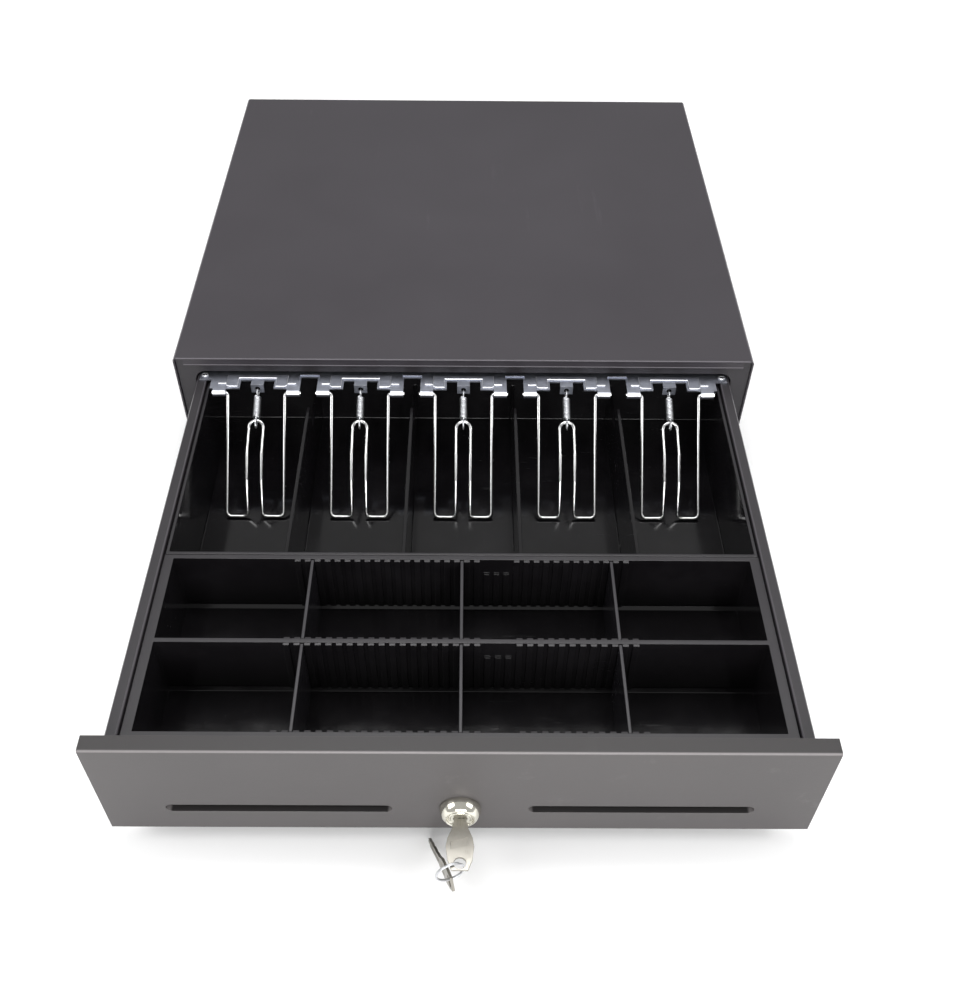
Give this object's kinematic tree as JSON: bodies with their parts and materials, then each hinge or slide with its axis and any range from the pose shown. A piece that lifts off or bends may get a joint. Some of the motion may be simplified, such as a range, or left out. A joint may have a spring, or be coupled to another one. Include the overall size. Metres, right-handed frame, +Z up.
{
  "type": "cash drawer",
  "caption": "Steel cash drawer shown open: lock with keys in a slotted front panel, ribbed coin cups with movable dividers, and note bays under wire clips.",
  "frame": {"origin": "middle of the whole object's footprint with the drawer open, on the plane under the rubber feet", "axes": "+Z up, +Y from the front panel towards the back of the case (the way the drawer closes), +X to the right as seen from the front"},
  "size_m": [0.41, 0.757, 0.102],
  "materials": {
    "cover_paint": "dark charcoal powder coat with a fine texture and a slight sheen",
    "face_paint": "dark charcoal powder coat",
    "panel_paint": "warm charcoal powder coat, fine texture",
    "case_steel": "black powder coat",
    "drawer_paint": "satin black paint",
    "foot_rubber": "matt black rubber",
    "black_screws": "black oxide",
    "zinc_steel": "zinc-plated sheet steel",
    "bar_zinc": "bluish bright zinc plating",
    "bright_steel": "bright steel",
    "clip_wire": "nickel-plated spring wire",
    "lock_nickel": "polished nickel plating",
    "key_nickel": "nickel-plated brass",
    "coil_winding": "varnished copper winding under tape",
    "black_plastic": "moulded black plastic",
    "roller_nylon": "white nylon",
    "till_plastic": "glossy black styrene",
    "coin_plastic": "glossy black styrene, satin rim",
    "divider_plastic": "dark grey styrene"
  },
  "bodies": {
    "case": {"top_cover": "cover_paint", "base_pan": "case_steel", "face_frame": "face_paint", "back_panel": "face_paint", "rubber_feet": "foot_rubber", "rail_stops": "foot_rubber", "cover_screws": "black_screws", "case_rail_left": "zinc_steel", "case_rail_right": "zinc_steel", "latch_bracket": "zinc_steel", "rail_rivets": "bright_steel", "front_axles": "bright_steel", "solenoid_frame": "bright_steel", "hook_spring": "bright_steel", "ejector_spring": "bright_steel", "switch_lever": "bright_steel", "solenoid_coil": "coil_winding", "switch_body": "black_plastic", "data_jack": "black_plastic"},
    "front_rollers": {"front_rollers": "roller_nylon"},
    "rear_rollers": {"rear_rollers": "roller_nylon"},
    "solenoid_plunger": {"solenoid_plunger": "bright_steel"},
    "latch_hook": {"latch_hook": "zinc_steel"},
    "drawer": {"drawer_tray": "drawer_paint", "front_panel": "panel_paint", "panel_spacers": "bright_steel", "panel_screws": "bright_steel", "rear_axles": "bright_steel", "lock_nut": "bright_steel", "clip_bar_screws": "bright_steel", "drawer_rail_left": "zinc_steel", "drawer_rail_right": "zinc_steel", "striker": "zinc_steel", "lock_body": "lock_nickel", "bill_tray": "till_plastic", "clip_bar": "bar_zinc"},
    "lock": {"lock_plug": "lock_nickel", "lock_cam": "zinc_steel"},
    "key": {"key": "key_nickel"},
    "key_ring": {"key_ring": "bright_steel"},
    "spare_key": {"spare_key": "key_nickel"},
    "coin_tray": {"coin_tray": "coin_plastic"},
    "coin_divider_1": {"coin_divider_1": "divider_plastic"},
    "coin_divider_2": {"coin_divider_2": "divider_plastic"},
    "coin_divider_3": {"coin_divider_3": "divider_plastic"},
    "coin_divider_4": {"coin_divider_4": "divider_plastic"},
    "coin_divider_5": {"coin_divider_5": "divider_plastic"},
    "coin_divider_6": {"coin_divider_6": "divider_plastic"},
    "bill_clip_1": {"bill_clip_1": "clip_wire"},
    "clip_spring_1": {"clip_spring_1": "bright_steel"},
    "bill_clip_2": {"bill_clip_2": "clip_wire"},
    "clip_spring_2": {"clip_spring_2": "bright_steel"},
    "bill_clip_3": {"bill_clip_3": "clip_wire"},
    "clip_spring_3": {"clip_spring_3": "bright_steel"},
    "bill_clip_4": {"bill_clip_4": "clip_wire"},
    "clip_spring_4": {"clip_spring_4": "bright_steel"},
    "bill_clip_5": {"bill_clip_5": "clip_wire"},
    "clip_spring_5": {"clip_spring_5": "bright_steel"}
  },
  "joints": [
    {"name": "drawer_slide", "type": "slide", "parent": "case", "child": "drawer", "axis": [0, -1, 0], "range_m": [-0.307, 0]},
    {"name": "front_roller_turn", "type": "hinge", "parent": "case", "child": "front_rollers", "pos_m": [0, -0.00208, 0.057], "axis": [1, 0, 0], "range_deg": [-1535, 5]},
    {"name": "rear_roller_turn", "type": "hinge", "parent": "drawer", "child": "rear_rollers", "pos_m": [0, 0.02472, 0.057], "axis": [1, 0, 0], "range_deg": [-1535, 5]},
    {"name": "latch_turn", "type": "hinge", "parent": "case", "child": "latch_hook", "pos_m": [0.008, 0.36052, 0.0292], "axis": [0, 0, 1], "range_deg": [0, 15], "stiffness_Nm_per_rad": 0.06, "springref_deg": -5.73},
    {"name": "solenoid_pull", "type": "slide", "parent": "case", "child": "solenoid_plunger", "axis": [1, 0, 0], "range_m": [0, 0.0048]},
    {"name": "lock_turn", "type": "hinge", "parent": "drawer", "child": "lock", "pos_m": [0, -0.33708, 0.038], "axis": [0, -1, 0], "range_deg": [0, 90]},
    {"name": "key_pull", "type": "slide", "parent": "lock", "child": "key", "axis": [0, -1, 0], "range_m": [0, 0.028]},
    {"name": "key_ring_turn", "type": "hinge", "parent": "key", "child": "key_ring", "pos_m": [0, -0.37108, 0.038], "axis": [0, -1, 0], "range_deg": [-90, 0]},
    {"name": "spare_key_swing", "type": "hinge", "parent": "key_ring", "child": "spare_key", "pos_m": [-0.00517, -0.37296, 0.02419], "axis": [0.9397, 0.342, 0], "range_deg": [0, 6]},
    {"name": "coin_tray_lift", "type": "slide", "parent": "drawer", "child": "coin_tray", "axis": [0, 0, 1], "range_m": [0, 0.12]},
    {"name": "coin_divider_lift_1", "type": "slide", "parent": "coin_tray", "child": "coin_divider_1", "axis": [0, 0, 1], "range_m": [0, 0.06]},
    {"name": "coin_divider_lift_2", "type": "slide", "parent": "coin_tray", "child": "coin_divider_2", "axis": [0, 0, 1], "range_m": [0, 0.06]},
    {"name": "coin_divider_lift_3", "type": "slide", "parent": "coin_tray", "child": "coin_divider_3", "axis": [0, 0, 1], "range_m": [0, 0.06]},
    {"name": "coin_divider_lift_4", "type": "slide", "parent": "coin_tray", "child": "coin_divider_4", "axis": [0, 0, 1], "range_m": [0, 0.06]},
    {"name": "coin_divider_lift_5", "type": "slide", "parent": "coin_tray", "child": "coin_divider_5", "axis": [0, 0, 1], "range_m": [0, 0.06]},
    {"name": "coin_divider_lift_6", "type": "slide", "parent": "coin_tray", "child": "coin_divider_6", "axis": [0, 0, 1], "range_m": [0, 0.06]},
    {"name": "bill_clip_turn_1", "type": "hinge", "parent": "drawer", "child": "bill_clip_1", "pos_m": [-0.146, -0.03428, 0.08475], "axis": [-1, 0, 0], "range_deg": [0, 85], "stiffness_Nm_per_rad": 0.03, "springref_deg": -20.05},
    {"name": "clip_spring_turn_1", "type": "hinge", "parent": "drawer", "child": "clip_spring_1", "pos_m": [-0.146, -0.02828, 0.0814], "axis": [-1, 0, 0], "range_deg": [-1, 70]},
    {"name": "bill_clip_turn_2", "type": "hinge", "parent": "drawer", "child": "bill_clip_2", "pos_m": [-0.073, -0.03428, 0.08475], "axis": [-1, 0, 0], "range_deg": [0, 85], "stiffness_Nm_per_rad": 0.03, "springref_deg": -20.05},
    {"name": "clip_spring_turn_2", "type": "hinge", "parent": "drawer", "child": "clip_spring_2", "pos_m": [-0.073, -0.02828, 0.0814], "axis": [-1, 0, 0], "range_deg": [-1, 70]},
    {"name": "bill_clip_turn_3", "type": "hinge", "parent": "drawer", "child": "bill_clip_3", "pos_m": [0, -0.03428, 0.08475], "axis": [-1, 0, 0], "range_deg": [0, 85], "stiffness_Nm_per_rad": 0.03, "springref_deg": -20.05},
    {"name": "clip_spring_turn_3", "type": "hinge", "parent": "drawer", "child": "clip_spring_3", "pos_m": [0, -0.02828, 0.0814], "axis": [-1, 0, 0], "range_deg": [-1, 70]},
    {"name": "bill_clip_turn_4", "type": "hinge", "parent": "drawer", "child": "bill_clip_4", "pos_m": [0.073, -0.03428, 0.08475], "axis": [-1, 0, 0], "range_deg": [0, 85], "stiffness_Nm_per_rad": 0.03, "springref_deg": -20.05},
    {"name": "clip_spring_turn_4", "type": "hinge", "parent": "drawer", "child": "clip_spring_4", "pos_m": [0.073, -0.02828, 0.0814], "axis": [-1, 0, 0], "range_deg": [-1, 70]},
    {"name": "bill_clip_turn_5", "type": "hinge", "parent": "drawer", "child": "bill_clip_5", "pos_m": [0.146, -0.03428, 0.08475], "axis": [-1, 0, 0], "range_deg": [0, 85], "stiffness_Nm_per_rad": 0.03, "springref_deg": -20.05},
    {"name": "clip_spring_turn_5", "type": "hinge", "parent": "drawer", "child": "clip_spring_5", "pos_m": [0.146, -0.02828, 0.0814], "axis": [-1, 0, 0], "range_deg": [-1, 70]}
  ],
  "couplings": [
    {"joint": "front_roller_turn", "follows": "drawer_slide", "rad_per_m": 86.957},
    {"joint": "rear_roller_turn", "follows": "drawer_slide", "rad_per_m": 86.957},
    {"joint": "solenoid_pull", "follows": "latch_turn", "m_per_rad": 0.018},
    {"joint": "key_ring_turn", "follows": "lock_turn", "ratio": -1},
    {"joint": "clip_spring_turn_1", "follows": "bill_clip_turn_1", "ratio": 0.76},
    {"joint": "clip_spring_turn_2", "follows": "bill_clip_turn_2", "ratio": 0.76},
    {"joint": "clip_spring_turn_3", "follows": "bill_clip_turn_3", "ratio": 0.76},
    {"joint": "clip_spring_turn_4", "follows": "bill_clip_turn_4", "ratio": 0.76},
    {"joint": "clip_spring_turn_5", "follows": "bill_clip_turn_5", "ratio": 0.76}
  ]
}
